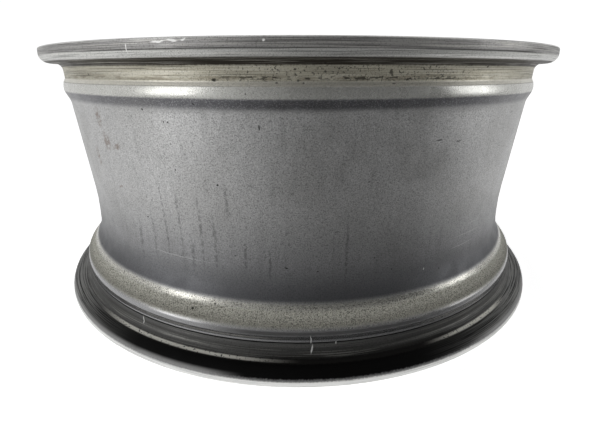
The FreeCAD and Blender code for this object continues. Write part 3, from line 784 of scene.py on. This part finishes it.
def grain_casting(side):
    """Grain, pits and soft stains of the cast surface, with stronger grain on the dusty ledge."""
    nodes = side.nodes
    zone_soft = 2.5
    step_fade = 4.0
    on_ledge = side.over("ledge", "barrel", zone_soft)
    on_barrel = side.over("barrel", "inboard_seat", zone_soft)
    cast = nodes.sum(on_barrel, on_ledge)
    weaker = nodes.fade(side.run, STARTS["step"], STARTS["step"] - step_fade, 0.55, 1.0)
    side.coat(nodes.product(on_barrel, weaker, side.pepper), DARK_GRAIN, strength=0.50)
    side.coat(nodes.product(on_barrel, weaker, side.bright), PALE_GRAIN, strength=0.42)
    side.coat(nodes.product(on_ledge, side.pepper), DARK_LEDGE_GRAIN, strength=0.75)
    side.coat(nodes.product(on_ledge, side.bright), PALE_LEDGE_GRAIN, strength=0.50)
    shaded = nodes.fade(side.run, LEDGE_SHADE_NONE, LEDGE_SHADE_FULL)
    side.coat(nodes.product(on_ledge, shaded), LEDGE_SHADE, strength=0.5)
    stains = nodes.fade(nodes.noise(side.place, size=46.0, detail=3.0), 0.40, 0.68)
    side.coat(nodes.product(on_barrel, stains), CAST_STAIN, strength=0.16)
    pits = nodes.dots(side.place, spacing=15.0, radius=0.9, share=0.40)
    side.coat(nodes.product(cast, pits), PIT, strength=0.75, metallic=0.2)
    side.lift(nodes.product(cast, side.grain), height=-0.030)


def darken_foot(side):
    """Painted shade with grime, darkest in the ledge-barrel corner and thinning out up the barrel."""
    nodes = side.nodes
    below = 2.0
    above = 3.0
    on_barrel = nodes.fade(side.run, STARTS["barrel"] - below, STARTS["barrel"] + above)
    rising = nodes.fade(side.run, SHADE_AND_GRIME_NONE, SHADE_AND_GRIME_FULL)
    thin = nodes.product(on_barrel, rising)
    side.coat(thin, FOOT_SHADE_AND_GRIME, strength=0.80, metallic=0.9, roughness=0.50)
    corner = nodes.fade(side.run, CORNER_SHADE_AND_GRIME_NONE, CORNER_SHADE_AND_GRIME_FULL)
    thick = nodes.product(on_barrel, corner)
    side.coat(thick, CORNER_SHADE_AND_GRIME, strength=0.55, metallic=0.8, roughness=0.50)


def run_dirty_water(side):
    """Runs of dirty water down the barrel, and brown smudges."""
    nodes = side.nodes
    side.coat(nodes.product(side.marks(DRIPS), side.broken), DRIP, strength=0.40)
    hanging = nodes.noise(nodes.stretched(side.place, 1.0, 1.0, 0.04), size=5.0, detail=3.0)
    on_barrel = side.over("barrel", "crest", soft=2.5)
    faint = nodes.product(on_barrel, nodes.fade(hanging, 0.52, 0.74))
    side.coat(faint, HANGING_DIRT, strength=0.12)
    side.coat(nodes.product(side.marks(SMUDGES), side.broken), SMUDGE, strength=0.60)


def drop_crumbs(side):
    """Black crumbs, single ones and along the inboard seat and hump, and painted shade on the
    outboard hump's edge.
    """
    nodes = side.nodes
    # Painted shade: a dark band along the outboard hump's edge, only in front
    hump_edge_shade = nodes.product(side.within(HUMP_EDGE_SHADE), side.sector(HUMP_EDGE_SHADE_FRONT))
    side.coat(hump_edge_shade, CRUMB_AND_SHADE, strength=0.75, metallic=0.4, roughness=0.4)
    rows = nodes.noise(side.drawn_out(share=0.35), size=1.4, detail=3.0)
    rows = nodes.fade(rows, 0.50, 0.58)
    seat_line = nodes.product(side.within(CRUMB_LINE), rows, side.sector(CRUMB_LINE_FRONT))
    loose = nodes.fade(nodes.noise(side.place, size=1.5), 0.58, 0.66)
    on_seat = side.over("inboard_seat", "flange_face")
    seat_crumbs = nodes.product(on_seat, loose, side.sector(CRUMBS_FRONT))
    thin_line = nodes.product(side.within(THIN_LINE), 0.45)
    black = nodes.largest([side.marks(SPECKS), seat_line, seat_crumbs, thin_line])
    black = nodes.product(black, 0.9)
    side.coat(black, CRUMB_AND_SHADE, metallic=0.0, roughness=0.55)
    side.lift(black, height=0.05)


def scratch_surface(side):
    """Fresh bright scratches, and long fainter ones round the barrel."""
    side.coat(side.marks(SCRATCHES), SCRATCH, strength=0.8, metallic=0.3)
    side.coat(side.marks(LONG_SCRATCHES), LONG_SCRATCH, strength=0.3)


def tyre_side_material():
    """Worn silver casting: a zone for each part of the section, then wear, dirt, painted light and
    scratches.
    """
    material, nodes, shader = new_material("tyre_side")
    side = TyreSide(nodes)
    lay_zones(side)
    wear_rubber(side)
    lip_sheen_and_lines(side)
    cut_turning_marks(side)
    grain_casting(side)
    darken_foot(side)
    run_dirty_water(side)
    drop_crumbs(side)
    scratch_surface(side)
    patches = nodes.noise(side.place, size=12.0, detail=3.0)
    uneven = nodes.fade(patches, 0.35, 0.65, -0.04, 0.04)
    nodes.feed(shader.inputs["Base Color"], side.colour)
    nodes.feed(shader.inputs["Roughness"], nodes.sum(side.roughness, uneven))
    nodes.feed(shader.inputs["Metallic"], side.metallic)
    nodes.feed(shader.inputs["Normal"], nodes.bump(side.height))
    shader.inputs["Specular IOR Level"].default_value = 0.06
    return material


SILVER_PAINT = screen(178, 179, 180)
BRAKE_DUST = screen(128, 123, 116)
DARK_DUST = screen(84, 80, 74)


def inside_material():
    """Silver paint, dulled in patches by a film of brake dust."""
    material, nodes, shader = new_material("inside_paint")
    place = nodes.place()
    dust = nodes.fade(nodes.noise(place, size=34.0, detail=4.0), 0.35, 0.70)
    fine = nodes.noise(place, size=0.9)
    colour = nodes.mix(nodes.math("MULTIPLY", dust, 0.30), SILVER_PAINT, BRAKE_DUST)
    colour = nodes.mix(nodes.fade(fine, 0.53, 0.66, 0.0, 0.30), colour, DARK_DUST)
    nodes.feed(shader.inputs["Base Color"], colour)
    nodes.feed(shader.inputs["Roughness"], nodes.math("MULTIPLY_ADD", dust, 0.12, 0.38))
    nodes.feed(shader.inputs["Metallic"], nodes.math("MULTIPLY_ADD", dust, -0.20, 0.65))
    nodes.feed(shader.inputs["Normal"], nodes.bump(nodes.math("MULTIPLY", fine, 0.02)))
    return material


DARK_RINGS = screen(158, 158, 156)
PALE_RINGS = screen(204, 204, 202)
BARE_STAIN = screen(120, 106, 92)


def bare_material():
    """Bare machined metal with fine rings about the axis and brown stains."""
    material, nodes, shader = new_material("bare_metal")
    place = nodes.place()
    x, y, z = nodes.parts(place)
    squared = nodes.math("MULTIPLY_ADD", x, x, nodes.math("MULTIPLY", y, y))
    reach = nodes.math("SQRT", squared)
    rings = nodes.noise(nodes.join(reach, z, 0.0), size=0.7)
    stain = nodes.fade(nodes.noise(place, size=14.0, detail=4.0), 0.45, 0.70)
    colour = nodes.mix(nodes.fade(rings, 0.35, 0.65), DARK_RINGS, PALE_RINGS)
    colour = nodes.mix(nodes.math("MULTIPLY", stain, 0.45), colour, BARE_STAIN)
    nodes.feed(shader.inputs["Base Color"], colour)
    nodes.feed(shader.inputs["Roughness"], nodes.math("MULTIPLY_ADD", stain, 0.25, 0.28))
    nodes.feed(shader.inputs["Normal"], nodes.bump(nodes.math("MULTIPLY", rings, 0.03)))
    shader.inputs["Metallic"].default_value = 0.95
    return material


make_wheel([tyre_side_material(), inside_material(), bare_material()])

# Camera: its frame, focal length and principal point in pixels of the photograph
FRAME_WIDTH = 595
FRAME_HEIGHT = 424
FOCAL_LENGTH = 400.74
PRINCIPAL_X = 298.4
PRINCIPAL_Y = 175.6

# Camera: its sensor and its place
SENSOR_WIDTH = 36.0
CAMERA_DISTANCE = 512.3
CAMERA_HEIGHT = 221.6
CAMERA_PITCH = math.radians(14.57)
NEAREST = 10.0


def make_camera():
    """The camera at the photograph's place and angle."""
    data = bpy.data.cameras.new("camera")
    data.sensor_width = SENSOR_WIDTH
    data.lens = FOCAL_LENGTH / FRAME_WIDTH * SENSOR_WIDTH
    data.shift_x = (FRAME_WIDTH / 2 - PRINCIPAL_X) / FRAME_WIDTH
    data.shift_y = (PRINCIPAL_Y - FRAME_HEIGHT / 2) / FRAME_WIDTH
    data.clip_start = NEAREST * MM
    camera = bpy.data.objects.new("camera", data)
    camera.location = (0.0, -CAMERA_DISTANCE * MM, CAMERA_HEIGHT * MM)
    camera.rotation_euler = (math.pi / 2 - CAMERA_PITCH, 0.0, 0.0)
    bpy.context.scene.collection.objects.link(camera)
    bpy.context.scene.camera = camera


make_camera()

# Stage
STAGE_RADIUS = 9000.0
FLOOR_GLOW = 0.72
FLOOR_PAINT = (0.78, 0.78, 0.78, 1.0)
BACKDROP_GLOW = 1.05
WHITE = (1.0, 1.0, 1.0, 1.0)


def make_floor():
    """A plain pale floor that glows a little, so that shadows on it stay faint."""
    material, _, shader = new_material("floor_paint")
    shader.inputs["Base Color"].default_value = FLOOR_PAINT
    shader.inputs["Roughness"].default_value = 1.0
    shader.inputs["Specular IOR Level"].default_value = 0.0
    shader.inputs["Emission Color"].default_value = WHITE
    shader.inputs["Emission Strength"].default_value = FLOOR_GLOW
    bm = bmesh.new()
    bmesh.ops.create_grid(bm, x_segments=1, y_segments=1, size=STAGE_RADIUS)
    floor = mesh_object("floor", bm, [material])
    floor.visible_glossy = False


def make_backdrop():
    """A white backdrop all round, which neither lights the wheel nor shows in its metal."""
    material, nodes, _ = new_material("backdrop_white")
    glow = nodes.add("ShaderNodeEmission", {"Color": WHITE, "Strength": BACKDROP_GLOW})
    nodes.feed(material.node_tree.nodes["Material Output"].inputs["Surface"], glow)
    bm = bmesh.new()
    bmesh.ops.create_icosphere(bm, subdivisions=3, radius=STAGE_RADIUS)
    backdrop = mesh_object("backdrop", bm, [material])
    backdrop.visible_diffuse = False
    backdrop.visible_glossy = False
    backdrop.visible_transmission = False
    backdrop.visible_shadow = False


make_floor()
make_backdrop()

# Light by direction, in degrees: azimuth from the front, positive to the right, and elevation
FRONT_GLOW = 0.125
LEFT_WALL = 0.80
LEFT_WALL_FROM = 20
LEFT_WALL_TO = -85
RIGHT_WALL = 0.66
RIGHT_WALL_FROM = 68
RIGHT_WALL_TO = 125
DARK_FROM = -67
DARK_TO = -46
DARK_SOFT = 8
DARK_LEFT = -60
DARK_RIGHT = 85
DARK_SIDE_SOFT = 25
DARK_SHARE = 0.85

# Bright soft panels: middle, half width and softness in azimuth, lowest and highest elevation
Panel = namedtuple("Panel", "azimuth half_width soft low high strength")
PANELS = [
    Panel(-57, 6, 9, -12, 28, 2.2),
    Panel(84, 6, 9, -10, 22, 2.0),
]
PANEL_EDGE = 4


def panel_glow(nodes, azimuth, elevation, panel):
    """Brightness of one panel in each direction."""
    offset = nodes.math("SUBTRACT", azimuth, math.radians(panel.azimuth))
    away = nodes.math("ABSOLUTE", offset)
    reach = panel.half_width + panel.soft
    across = nodes.fade(away, math.radians(reach), math.radians(panel.half_width))
    low, high, edge = (math.radians(angle) for angle in (panel.low, panel.high, PANEL_EDGE))
    return nodes.product(across, nodes.band(elevation, low, high, edge), panel.strength)


def make_surroundings():
    """A soft studio: bright walls at both sides, dim in front, dark low down, and two tall panels."""
    world = bpy.data.worlds.new("studio")
    world.use_nodes = True
    nodes = Nodes(world.node_tree)
    x, y, z = nodes.parts(nodes.add("ShaderNodeTexCoord", {}, output="Generated"))
    azimuth = nodes.math("ARCTAN2", x, nodes.math("MULTIPLY", y, -1.0))
    elevation = nodes.math("ARCSINE", z)
    start, end = (math.radians(angle) for angle in (LEFT_WALL_FROM, LEFT_WALL_TO))
    left = nodes.fade(azimuth, start, end, FRONT_GLOW, LEFT_WALL)
    start, end = (math.radians(angle) for angle in (RIGHT_WALL_FROM, RIGHT_WALL_TO))
    right = nodes.fade(azimuth, start, end, 0.0, RIGHT_WALL)
    low, high, soft = (math.radians(angle) for angle in (DARK_FROM, DARK_TO, DARK_SOFT))
    sides = (DARK_LEFT, DARK_RIGHT, DARK_SIDE_SOFT)
    first, last, side_soft = (math.radians(angle) for angle in sides)
    in_front = nodes.band(azimuth, first, last, side_soft)
    dark = nodes.product(nodes.band(elevation, low, high, soft), in_front, DARK_SHARE)
    walls = nodes.product(nodes.sum(left, right), nodes.math("SUBTRACT", 1.0, dark))
    panels = [panel_glow(nodes, azimuth, elevation, panel) for panel in PANELS]
    background = world.node_tree.nodes["Background"]
    background.inputs["Color"].default_value = WHITE
    nodes.feed(background.inputs["Strength"], nodes.sum(walls, *panels))
    bpy.context.scene.world = world


make_surroundings()
bpy.context.scene.view_settings.view_transform = "Standard"
